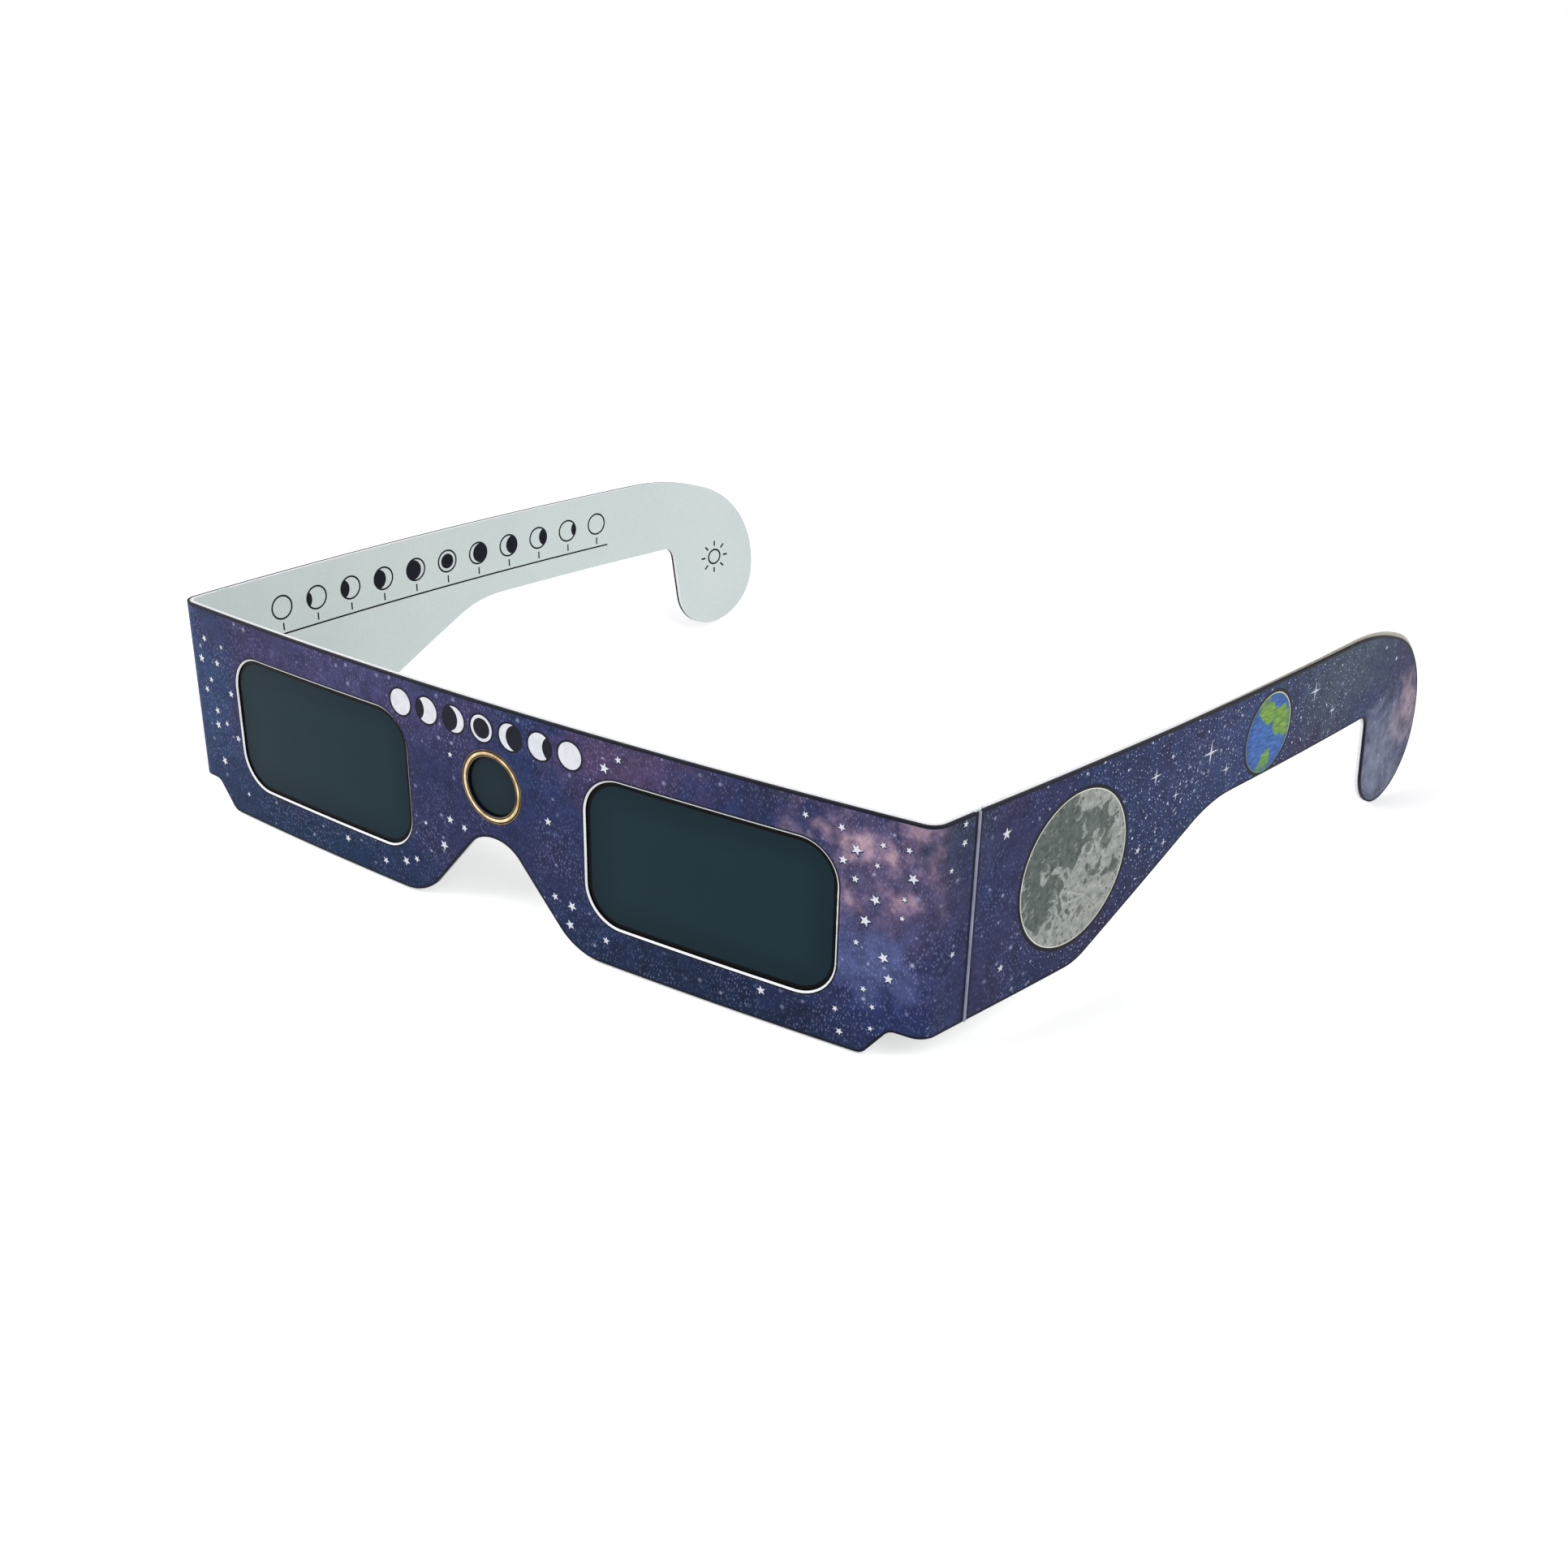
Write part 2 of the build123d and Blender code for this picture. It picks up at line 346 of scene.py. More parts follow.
def new_mesh(name, places, faces, *materials):
    """A smooth mesh with its sharp edges kept, its places in millimetres, and its materials."""
    mesh = bpy.data.meshes.new(name)
    mesh.from_pydata((np.array(places) * mm).tolist(), [], faces)
    mesh.validate()
    mesh.shade_smooth()
    mesh.set_sharp_from_angle(angle=sharp_angle)
    for material in materials:
        mesh.materials.append(material)
    return mesh


def loft(name, places, count, closed, material):
    """A mesh that joins profiles of a number of places, in a ring or with a cap at each end."""
    faces = []
    for here in range(0, len(places) if closed else len(places) - count, count):
        ahead = (here + count) % len(places)
        for rung in range(count):
            up = (rung + 1) % count
            faces.append((here + rung, here + up, ahead + up, ahead + rung))
    if not closed:
        faces += [[*range(count)][::-1], [*range(len(places) - count, len(places))]]
    return new_mesh(name, places, faces, material)


def link(data):
    """An object for a mesh, a lamp or a camera, at the origin and with its name."""
    piece = bpy.data.objects.new(data.name, data)
    bpy.context.scene.collection.objects.link(piece)
    return piece


def ink(hex_colour):
    """An sRGB hex colour as linear RGBA."""
    channels = [int(hex_colour[index : index + 2], 16) / 255 for index in (1, 3, 5)]
    return [c / 12.92 if c <= 0.04045 else ((c + 0.055) / 1.055) ** 2.4 for c in channels] + [1.0]


node_choices = ("operation", "interpolation_type", "noise_dimensions", "voronoi_dimensions", "data_type")


def add_node(tree, kind, *values, **named):
    """Adds a node of a kind, with the choice that a second word in it makes. Names in small letters are its
    settings, and others its inputs, with _ for a space. Values go to its inputs in order. A node or a socket
    is linked, and a hex colour is an ink."""
    kind, _, choice = kind.partition(" ")
    node = tree.nodes.new(kind if "Node" in kind else f"ShaderNode{kind}")
    if choice:
        named[next(name for name in node_choices if hasattr(node, name))] = choice
    for name in list(filter(str.islower, named)):
        setattr(node, name, named.pop(name))
    sockets = [socket for socket in node.inputs if socket.enabled]
    by_name = {socket.name.replace(" ", "_"): socket for socket in sockets}
    for socket, value in [*zip(sockets, values), *((by_name[name], named[name]) for name in named)]:
        if isinstance(value, bpy.types.Node):
            value = next(output for output in value.outputs if output.enabled)
        if isinstance(value, bpy.types.NodeSocket):
            tree.links.new(value, socket)
        else:
            socket.default_value = ink(value) if str(value).startswith("#") else value
    return node


def new_material(name):
    """An empty node material, and what adds nodes to it."""
    material = bpy.data.materials.new(name)
    material.use_nodes = True
    material.node_tree.nodes.clear()
    return material, partial(add_node, material.node_tree)


def mottled(name, size, detail, inks, relief=(), **finish):
    """A material whose colour wavers between two inks over a size, with a relief as strength and depth."""
    material, add = new_material(name)
    waver = add("TexNoise", add("TexCoord").outputs["Object"], Scale=1 / (size * mm), Detail=detail)
    if relief:
        finish["Normal"] = add("Bump", Strength=relief[0], Distance=relief[1] * mm, Height=waver)
    colour = add("Mix RGBA", waver, *inks)
    add("OutputMaterial", add("BsdfPrincipled", colour, **finish))
    return material


# Coated board, offset printed with a night sky and varnished matt: the ink lies flat and gives a faint, broad
# sheen. Clouds of ink lie over a blue ground, with slanting film grain, soft dots and dust of stars in them.
night_blue = "#223058"
deep_navy = "#162645"
violet = "#302C50"
glow_ink = "#8A738D"
peach_ink = "#B89CA2"
grain_ink = "#8F98C4"
dot_ink = "#B4BCD8"
dust_ink = "#C3CDE6"
clouds = (
    # run, height, half length, half height, ink, strength
    (-86, 22, 22, 40, "#2A4067", 0.85),
    (-26, 34, 34, 9, "#3F3D66", 0.85),
    (-44, 1, 36, 13, "#0D2848", 0.98),
    (-4, 20, 18, 12, "#222B52", 0.6),
    (24, 36, 20, 8, "#4E3E5F", 0.85),
    (50, 37, 14, 6, "#2A2C46", 0.8),
    (70, 29, 15, 11, "#524B6A", 0.85),
    (72, 10, 14, 9, "#273260", 0.85),
    (68, 16, 11, 6, "#535C8A", 0.8),
    (40, 2, 32, 8, "#12223D", 0.95),
    (84, 36, 8, 11, "#303A50", 0.9),
    (97, 18, 22, 20, "#34345A", 0.7),
    (150, 28, 26, 14, "#2C3E6A", 0.8),
    (186, 34, 26, 14, "#3C4C5C", 0.9),
    (207, 7, 20, 16, "#7A8099", 0.95),
    (218, 17, 6, 8, "#A8949F", 0.75),
    (-150, 26, 40, 14, "#383660", 0.7),
    (-205, 24, 22, 18, "#2F4A6A", 0.8),
)
swirl_size = 30.0
cloud_swirl = 10.0
ground_size = 34.0
mottle_size = 5.0
blotch_size = 2.6
glow_size = 5.0
glow_run = 66.0
glow_half = 15.5
patch_size = 9.0
glow_foot = 17.0
glow_head = 27.0
ground_dusk = 22.0
dust_start = 92.0
dust_full = 108.0
dust_fade = 184.0
dust_end = 200.0
grain_slant = radians(40)
fibre_size = 0.4


def sky_material():
    material, add = new_material("Coated_board_printed_night_sky")
    flat = add("UVMap", uv_map="flat_mm")
    run, height, _ = add("SeparateXYZ", flat).outputs

    # Clouds with torn rims: the place is swirled a little, and each cloud fades out from its middle
    swirl = add("TexNoise 2D", flat, Scale=1 / swirl_size, Detail=4, Roughness=0.6)
    centred = add("VectorMath SUBTRACT", swirl.outputs["Color"], (0.5, 0.5, 0.5))
    swirled = add("VectorMath MULTIPLY_ADD", centred, (cloud_swirl * 2, cloud_swirl, 0), flat)
    patches = add("TexNoise 2D", flat, Scale=1 / ground_size, Detail=5, Roughness=0.6)
    colour = add("Mix RGBA", add("MapRange", patches, 0.38, 0.62), night_blue, violet)
    low = add("MapRange", height, ground_dusk, 0, 0, 0.6)
    colour = add("Mix RGBA", low, colour, deep_navy)
    mottle = add("TexNoise 2D", swirled, Scale=1 / mottle_size, Detail=6, Roughness=0.62)
    torn = add("Math MULTIPLY_ADD", mottle, 1.7, -0.85)
    for cloud_run, rise, half_length, half_height, cloud_ink, strength in clouds:
        offset = add("VectorMath SUBTRACT", swirled, (cloud_run, rise, 0))
        offset = add("VectorMath DIVIDE", offset, (half_length, half_height, 1))
        reach = add("Math ADD", add("VectorMath LENGTH", offset), torn)
        share = add("MapRange SMOOTHSTEP", reach, 1.2, 0.1, 0, strength)
        colour = add("Mix RGBA", share, colour, cloud_ink)

    # A dusty rose glow at the right end breaks up into soft lumps, peach where it is brightest
    lumps = add("TexNoise 2D", flat, Scale=1 / glow_size, Detail=5, Roughness=0.55)
    away = add("Math ABSOLUTE", add("Math SUBTRACT", run, glow_run))
    near_end = add("MapRange SMOOTHSTEP", away, glow_half, glow_half * 0.3)
    high_up = add("MapRange SMOOTHSTEP", height, glow_foot, glow_head)
    within = add("Math MULTIPLY", near_end, high_up)
    for low_end, high_end, lump_ink in ((0.38, 0.7, glow_ink), (0.56, 0.8, peach_ink)):
        lump = add("MapRange SMOOTHSTEP", lumps, low_end, high_end)
        colour = add("Mix RGBA", add("Math MULTIPLY", within, lump), colour, lump_ink)

    # Light and dark at a few millimetres
    blotch = add("TexNoise 2D", flat, Scale=1 / blotch_size, Detail=8, Roughness=0.65)
    lightness = add("MapRange", blotch, 0.3, 0.7, 0.54, 1.06)
    colour = add("VectorMath SCALE", colour, lightness)

    # Grain in short slanting strokes, then soft dots out of focus, then sharp dust on the arms. They are
    # round dots, one at most in each cell, and the sharp ones hold their ink nearly to the rim.
    slanted = add("Mapping", flat, Rotation=(0, 0, grain_slant), Scale=(1, 0.5, 1))
    patches = add("TexNoise 2D", flat, Scale=1 / patch_size, Detail=4)
    patch = add("MapRange", patches, 0.36, 0.66, 0.08, 0.4)
    bright_patch = add("Math MULTIPLY", patch, 1.5)
    from_nose = add("Math ABSOLUTE", run)
    on_arms = add("MapRange", from_nose, dust_start, dust_full, 0.06, 1)
    off_hooks = add("MapRange", from_nose, dust_end, dust_fade, 0.08, 1)
    on_arms = add("Math MULTIPLY", on_arms, off_hooks)
    for place, cell, radius, left_out, core, shown, speck_ink in (
        (slanted, 0.42, 0.2, 0.25, 0.0, patch, grain_ink),
        (flat, 3.4, 0.58, 0.6, 0.0, bright_patch, dot_ink),
        (flat, 0.95, 0.15, 0.35, 0.4, on_arms, dust_ink),
        (flat, 3.135, 0.3, 0.5, 0.4, on_arms, dust_ink),
    ):
        cells = add("TexVoronoi 2D", place, Scale=1 / cell).outputs
        chance = add("SeparateColor", cells["Color"]).outputs
        largest = add("Math MULTIPLY_ADD", chance[1], radius / cell * 0.6, radius / cell * 0.4)
        away = add("Math DIVIDE", cells["Distance"], largest)
        dot = add("MapRange SMOOTHSTEP", away, 1, core)
        chosen = add("Math GREATER_THAN", chance[0], left_out)
        share = add("Math MULTIPLY", add("Math MULTIPLY", dot, chosen), shown)
        colour = add("Mix RGBA", share, colour, speck_ink)

    # Board fibres under the ink, drawn coarser than real ones so that they show
    fibre = add("TexNoise 2D", flat, Scale=1 / fibre_size, Detail=4)
    rough = add("MapRange", fibre, 0.2, 0.8, 0.46, 0.6)
    relief = add("Bump", Strength=0.12, Distance=0.02 * mm, Height=fibre)
    finish = {"Roughness": rough, "IOR": 1.47, "Specular_IOR_Level": 0.1, "Normal": relief}
    add("OutputMaterial", add("BsdfPrincipled", colour, **finish))
    return material


sky = sky_material()

# Black offset ink along the cuts and in the line work: dense, flat, a little glossier than the print
dense = {"Roughness": 0.5, "Specular_IOR_Level": 0.12}
black_ink = mottled("Black_offset_ink", 1.5, 4.0, ("#04060C", "#0C1022"), **dense)

# Opaque white ink over the night sky: matt and faintly lilac, thinner in places so that the blue tints it
matt = {"Roughness": 0.6, "Specular_IOR_Level": 0.2}
white_ink = mottled("Opaque_white_screen_ink", 0.9, 5.0, ("#B2B6C2", "#DADBDD"), **matt)

# Bleached board where the knife has cut it: bright and matt, with fibres lying across the cut. Real ones are
# finer than the render can show, so these are drawn coarser.
fibrous = {"relief": (0.3, 0.03), "Roughness": 0.75, "Specular_IOR_Level": 0.2}
cut_edge = mottled("Bleached_board_cut_edge", 0.35, 6.0, ("#C4C8D0", "#ECEDEB"), **fibrous)

# Print over the nose: seven steps of the moon crossing the sun. Each is a disc of opaque white ink with a
# black line round it, and black where the moon covers it.
phase_middle = -1.5 + 33.7j
phase_pitch = 5.9
phase_radius = 2.2
phase_line = 0.36
corona_width = 0.5
phase_shares = (2.0, -1.25, -0.62, 0.0, 0.62, 1.25, 2.0)
crescent_steps = 16


def crescent(centre, radius, shift):
    """The part of a disc that a second one, shifted along the run, leaves uncovered."""
    half = acos(abs(shift) / 2 / radius)
    outer = radius * np.exp(1j * np.linspace(half, 2 * pi - half, 2 * crescent_steps))
    inner = abs(shift) + radius * np.exp(1j * np.linspace(pi + half, pi - half, crescent_steps))
    path = np.concatenate([outer, inner[1:-1]])
    return list(centre + (path if shift > 0 else -path.conj()))


def phase_marks(middle, pitch, radius, shares, lit, dark):
    """A row of eclipse phases: each disc with its line, and the part that is still lit."""
    marks = []
    for index, share in enumerate(shares):
        centre = middle + pitch * (index - (len(shares) - 1) / 2)
        marks.append((circle(centre, radius + phase_line), dark))
        if 0 < abs(share) < 2:
            marks.append((crescent(centre, radius, share * radius), lit))
            continue
        marks.append((circle(centre, radius), lit))
        if share == 0:
            marks.append((circle(centre, radius - corona_width), dark))
    return marks


# Columns of the front's grid: wide on the bow, close together round each bend
front_columns = [0.0]
for side, bend in corners.items():
    bow = np.arange(1, round(bend.start / column_step)) * column_step
    curve = np.arange(bend.start, bend.end + bend_step, bend_step)
    tab = np.arange(curve[-1] + bend_margin, bend.crease - crease_margin, tab_step)
    front_columns += list(side * np.concatenate([bow, curve, tab]))
front_columns = np.array(sorted(front_columns))

front_outline = front_path(*(corners[side].crease - score_gap for side in sides))
lens_windows = [window_path(side) for side in sides]
round_window = circle(round_place, round_radius)
front_form = front_outline, front_columns, front_place
front_card = board(
    "front_printed_card_face",
    front_form,
    (0, printed_ply),
    (sky, black_ink, cut_edge, white_ink),
    holes=[(path, lip_width, window_ink) for path in lens_windows] + [(round_window, 0, round_ink)],
    marks=phase_marks(phase_middle, phase_pitch, phase_radius, phase_shares, 3, 1),
    border=outline_ink,
)
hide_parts("front_printed_card")
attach(front_card, "front")


# The front's white inner card: 0.55 mm uncoated board, glued behind the printed one and cut with it. The
# board is matt and faintly grey, with fibres, drawn coarser than real ones, that catch the light. The knife
# leaves a faint grey line along its edge.
film_ply = 0.12
liner_ply = 0.55
liner_depth = printed_ply + film_ply
card_thickness = liner_depth + liner_ply
liner_line = 0.14
board_cloud = 18.0
board_fibre = 0.5
board_finish = {"Roughness": 0.8, "Specular_IOR_Level": 0.2}

white_card, add = new_material("Uncoated_white_board")
place = add("TexCoord").outputs["Object"]
cloud = add("TexNoise", place, Scale=1 / (board_cloud * mm), Detail=3)
fibre = add("TexNoise", place, Scale=1 / (board_fibre * mm), Detail=7)
colour = add("Mix RGBA", cloud, "#C6D0D0", "#D3DBDA")
colour = add("VectorMath SCALE", colour, add("MapRange", fibre, 0.3, 0.7, 0.97, 1.03))
relief = add("Bump", Strength=0.25, Distance=0.03 * mm, Height=fibre)
add("OutputMaterial", add("BsdfPrincipled", colour, Normal=relief, **board_finish))
knife_line = mottled("Uncoated_white_board_knife_line", 3, 4.0, ("#7E8488", "#C2C8C8"), **board_finish)

front_liner = board(
    "front_white_card_face",
    front_form,
    (card_thickness, liner_depth),
    (white_card, knife_line, cut_edge),
    holes=[(path, 0, liner_line) for path in lens_windows + [round_window]],
)
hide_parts("front_white_liner")
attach(front_liner, "front")


# The arms: the same two boards glued together, die cut with a sloping root, a narrow middle and an ear hook.
# Each one starts at its crease, and its own set bends it a little towards the head.
arm_length = 137.5
arm_narrow = 21.95
slope_start = 25.7
slope_angle = tan(radians(26.5))
slope_foot_radius = 11.0
slope_head_radius = 25.0
crown_radius = 57.6
crown_turn = radians(20)
back_straight = 1.0
hook_rise = 1.4
hook_radius = 11.9
hook_tip_radius = 9.6
hook_lean = radians(9.3)
hook_throat_radius = 3.0
arm_splay = {-1: radians(-1.7), 1: radians(12.8)}
arm_droop = {-1: 0.0, 1: radians(0.6)}
arm_bend = {-1: 610.0, 1: 1471.0}
score_blend = 4.0
root_columns = (1.5, 3.0)
even_columns = 5.0
crease_at = {side: complex(*joint["pos_m"][:2]) / mm for side, joint in zip(sides, frame["joints"])}


def arm_place(side):
    """How flat points are laid on an arm."""
    along = 1j * cmath.exp(-1j * side * arm_splay[side])
    bend = arm_bend[side]

    def place(flat, depth):
        run = np.abs(flat.real) - corners[side].crease
        run += depth * score_slant * np.clip((score_blend - run) / (score_blend - score_gap), 0, 1)
        inset = bend - np.sqrt((bend - depth) ** 2 - run**2)
        return laid(crease_at[side] + along * (run + 1j * side * inset), flat)

    return place


def on_arm(side, point):
    """A place counted from a level arm's crease, as it lies on the unfolded card with the arm's droop."""
    pivot = 1j * card_height
    point = pivot + (point - pivot) * cmath.exp(-1j * arm_droop[side])
    return side * (corners[side].crease + max(point.real, score_gap)) + 1j * point.imag


def follow(start, heading, moves):
    """A path of arcs: each move is a radius and a turn to the right, or a straight length and no turn."""
    path = [start]
    for radius, turn in moves:
        if not turn:
            path.append(path[-1] + heading * radius)
            continue
        centre = path[-1] - 1j * heading * radius
        steps = ceil(turn * radius / arc_step)
        spoke = path[-1] - centre
        path += [centre + spoke * cmath.exp(-1j * turn * step / steps) for step in range(1, steps + 1)]
        heading *= cmath.exp(-1j * turn)
    return path


def arm_path():
    """The outline of a level arm, counted from its crease."""
    slope_run = (arm_narrow - step_rise) / slope_angle
    shoulder_head = card_height - crown_radius * (1 - cos(crown_turn))
    shoulder_foot = hook_rise + hook_radius + back_straight
    shoulder_radius = (shoulder_head - shoulder_foot) / cos(crown_turn)
    crown_run = crown_radius * sin(crown_turn) + shoulder_radius * (1 - sin(crown_turn))
    quarter = pi / 2
    moves = [
        (crown_radius, crown_turn),
        (shoulder_radius, quarter - crown_turn),
        (back_straight, 0),
        (hook_radius, quarter),
        (hook_tip_radius, quarter - hook_lean),
    ]
    hook = follow(arm_length - crown_run + 1j * card_height, 1, moves)
    throat_foot = hook.pop()
    throat_head = throat_foot.real - (arm_narrow - throat_foot.imag) * tan(hook_lean) + 1j * arm_narrow
    slope_head = slope_start + slope_run + 1j * arm_narrow
    slope_foot = slope_start + 1j * step_rise
    points = [throat_foot, throat_head, slope_head, slope_foot, 1j * step_rise, 1j * card_height]
    radii = [0, hook_throat_radius, slope_head_radius, slope_foot_radius, 0, 0]
    return rounded(points, radii) + hook


# Print on the arms: a moon, a planet, sparkles and a burst of light on the outside, mirrored on the left arm.
# The discs are offset printed and varnished with the sky, and the lights are opaque white ink.
moon_place = 23.1 + 21.9j
moon_radius = 12.5
planet_place = 75.55 + 29.35j
planet_radius = 7.0
disc_line = 0.6
disc_rim = 0.24
varnish = {"Roughness": 0.52, "IOR": 1.47, "Specular_IOR_Level": 0.14}
moon_grain = 1.3
moon_tremble = 1.3
plains_size = 7.5
round_plains = (
    # run, height, radius, counted from the middle of the moon
    (3.6, 6.9, 2.2),
    (-0.9, 8.6, 1.2),
    (7.3, 2.2, 1.5),
    (5.9, -1.6, 0.9),
)
plain_shore = 0.35
crater_sizes = (3.6, 1.3)
rayed_crater = 3.4 - 5.6j
crater_rays = 7.5
pencil_size = 0.8
coast_size = 6.2
sparkles = (
    # run, height, radius, points, waist
    (6.2, 32.8, 1.0, 5, 0.4),
    (7.6, 11.0, 0.7, 5, 0.4),
    (42.0, 31.2, 1.6, 4, 0.14),
    (57.4, 30.8, 2.3, 4, 0.13),
    (63.0, 26.4, 1.3, 4, 0.14),
    (48.4, 26.2, 1.0, 4, 0.16),
    (46.6, 18.6, 0.9, 4, 0.16),
    (90.5, 32.8, 1.9, 4, 0.14),
    (98.4, 27.2, 1.0, 4, 0.16),
)
burst_place = 56.0 + 29.6j
burst_heading = cmath.exp(1j * radians(38))
burst_length = 5.0
burst_spread = 1.3
burst_count = 46
burst_gap = 0.95
burst_seed = 11


def sparkle(centre, radius, points, waist):
    """A thin star that stands on one point."""
    reaches = (radius, radius * waist) * points
    return [centre + cmath.rect(reach, pi * (i / points + 0.5)) for i, reach in enumerate(reaches)]


def burst():
    """Short streaks of light strewn along a slanting line, none touching a sparkle or another streak."""
    chance = np.random.default_rng(burst_seed)
    taken = [(run + 1j * height, radius) for run, height, radius, _, _ in sparkles]
    streaks = []
    for _ in range(burst_count):
        centre = burst_place + burst_heading * complex(*chance.normal(0, (burst_length, burst_spread)))
        half_length = chance.uniform(0.25, 0.75)
        half_width = chance.uniform(0.08, 0.14)
        if any(abs(centre - place) < radius + burst_gap for place, radius in taken):
            continue
        taken.append((centre, 0.0))
        steps = (-half_length, -1j * half_width, half_length, 1j * half_width)
        streaks.append([centre + burst_heading * step for step in steps])
    return streaks


def disc_material(name, side, place):
    """A new material for a printed disc, with the way from the disc's middle and its length."""
    material, add = new_material(f"Coated_board_printed_{name}_{side_name[side]}")
    middle = on_arm(side, place)
    flat = add("UVMap", uv_map="flat_mm")
    offset = add("VectorMath SUBTRACT", flat, (middle.real, middle.imag, 0))
    return material, add, offset, add("VectorMath LENGTH", offset)


# Offset print of a cratered moon: pale grey highlands, dark grey-green plains, craters and a cream rim.
def moon_material(side):
    material, add, offset, reach = disc_material("moon", side, moon_place)
    rough = add("TexNoise 2D", offset, Scale=1 / moon_grain, Detail=9, Roughness=0.72)
    share = add("MapRange", rough, 0.3, 0.7)
    pale = add("Mix RGBA", share, "#686F6C", "#A9AEA8")
    dark = add("Mix RGBA", share, "#343D3B", "#596360")
    tremble = add("VectorMath SUBTRACT", rough.outputs["Color"], (0.5, 0.5, 0.5))
    uneven = add("VectorMath MULTIPLY_ADD", tremble, (moon_tremble, moon_tremble, 0), offset)
    lean = add("VectorMath DOT_PRODUCT", offset, (-0.006 * side, 0.009, 0))
    plains = add("TexNoise 2D", offset, Scale=1 / plains_size, Detail=6, Roughness=0.55, Distortion=0.4)
    plains = add("Math ADD", plains, lean)
    plain = add("MapRange SMOOTHSTEP", plains, 0.5, 0.525, 0, 0.92)
    colour = add("Mix RGBA", plain, pale, dark)
    for x, y, radius in round_plains:
        away = add("VectorMath DISTANCE", uneven, (x * side, y, 0))
        plain = add("MapRange", away, radius, radius - plain_shore, 0, 0.85)
        colour = add("Mix RGBA", plain, colour, dark)

    # Craters: a dark floor in a wall that is lit from one side, at two sizes, and rays from one of them
    for size in crater_sizes:
        floor = 0.24 if size > 2 else 0.22
        cells = add("TexVoronoi 2D", uneven, Scale=1 / size).outputs
        chance = add("SeparateColor", cells["Color"])
        chosen = add("Math GREATER_THAN", chance, 0.6)
        from_middle = add("VectorMath SUBTRACT", uneven, cells["Position"])
        toward = add("VectorMath DOT_PRODUCT", from_middle, (0.7, -0.7, 0))
        lit = add("MapRange", toward, -size * floor, size * floor)
        wall = add("Mix RGBA", lit, "#39413F", "#B4B9B3")
        for near, far, mark_ink, strength in ((1.35, 1, wall, 0.6), (1.05, 0.6, "#4A5250", 0.7)):
            share = add("MapRange", cells["Distance"], floor * near, floor * far, 0, strength)
            colour = add("Mix RGBA", add("Math MULTIPLY", share, chosen), colour, mark_ink)
    place = (rayed_crater.real * side, rayed_crater.imag, 0)
    from_crater = add("VectorMath SUBTRACT", offset, place)
    x, y, _ = add("SeparateXYZ", from_crater).outputs
    angle = add("Math ARCTAN2", y, x)
    rays = add("MapRange", add("TexNoise 1D", angle, Scale=5, Detail=5), 0.5, 0.8)
    fade = add("MapRange", add("VectorMath LENGTH", from_crater), crater_rays, 1, 0, 0.6)
    colour = add("Mix RGBA", add("Math MULTIPLY", rays, fade), colour, "#C6CBC5")
    rim = add("MapRange", reach, moon_radius - disc_rim, moon_radius - disc_rim / 2)
    colour = add("Mix RGBA", rim, colour, "#D2D5C8")
    add("OutputMaterial", add("BsdfPrincipled", colour, **varnish))
    return material


# Offset print of a planet in coloured pencil style: streaky blue seas, yellowish green land, a lit rim.
def planet_material(side):
    material, add, offset, reach = disc_material("planet", side, planet_place)
    strokes = add("Mapping", offset, Rotation=(0, 0, radians(35)), Scale=(0.4, 1.6, 1))
    pencil = add("TexNoise 2D", strokes, Scale=1 / pencil_size, Detail=4)
    share = add("MapRange", pencil, 0.3, 0.7)
    sea = add("Mix RGBA", share, "#2A4C8C", "#4570B2")
    land = add("Mix RGBA", share, "#457A34", "#83A348")
    coast = add("TexNoise 4D", offset, 1.7, Scale=1 / coast_size, Detail=3, Roughness=0.45)
    colour = add("Mix RGBA", add("MapRange", coast, 0.51, 0.525), sea, land)
    shade = add("MapRange", reach, planet_radius * 0.72, planet_radius, 0, 0.5)
    colour = add("Mix RGBA", shade, colour, "#24406E")
    rim = add("MapRange", reach, planet_radius - disc_rim, planet_radius - disc_rim / 2)
    lit = add("VectorMath DOT_PRODUCT", offset, (0.1 * side, 0.1, 0))
    share = add("Math MULTIPLY", rim, add("MapRange", lit, 0, 1, 0.15, 1))
    colour = add("Mix RGBA", share, colour, "#D8E2B4")
    add("OutputMaterial", add("BsdfPrincipled", colour, **varnish))
    return material


def outside_marks(side):
    """The print on the outside of an arm, with each disc inside its black line."""
    marks = []
    for place, radius, zone in ((moon_place, moon_radius, 4), (planet_place, planet_radius, 5)):
        centre = on_arm(side, place)
        marks.append((circle(centre, radius + disc_line), 1))
        marks.append((circle(centre, radius), zone))
    for run, height, radius, points, waist in sparkles:
        marks.append((sparkle(on_arm(side, run + 1j * height), radius, points, waist), 3))
    return marks + [([on_arm(side, point) for point in streak], 3) for streak in burst()]


# Print inside the left arm, in black ink on the bare board: eclipse phases over a ruled scale, and a plain
# line drawing of a sun on the hook.
guide_phases = 52.0 + 31.6j
guide_pitch = 8.0
guide_radius = 2.05
guide_shares = (2.0, -1.5, -1.1, -0.7, -0.35, 0.0, 0.35, 0.7, 1.1, 1.5, 2.0)
rule_height = 26.4
rule_width = 0.34
rule_overrun = 3.0
tick_height = 1.5
sun_place = 126.2 + 17.5j
sun_radius = 1.9
sun_line = 0.42
ray_start = 2.6
ray_end = 3.8
ray_count = 8


def oblong(start, end, width):
    """A straight stroke of a width, from one flat place to another."""
    across = 1j * (end - start) / abs(end - start) * width / 2
    return [start - across, end - across, end + across, start + across]


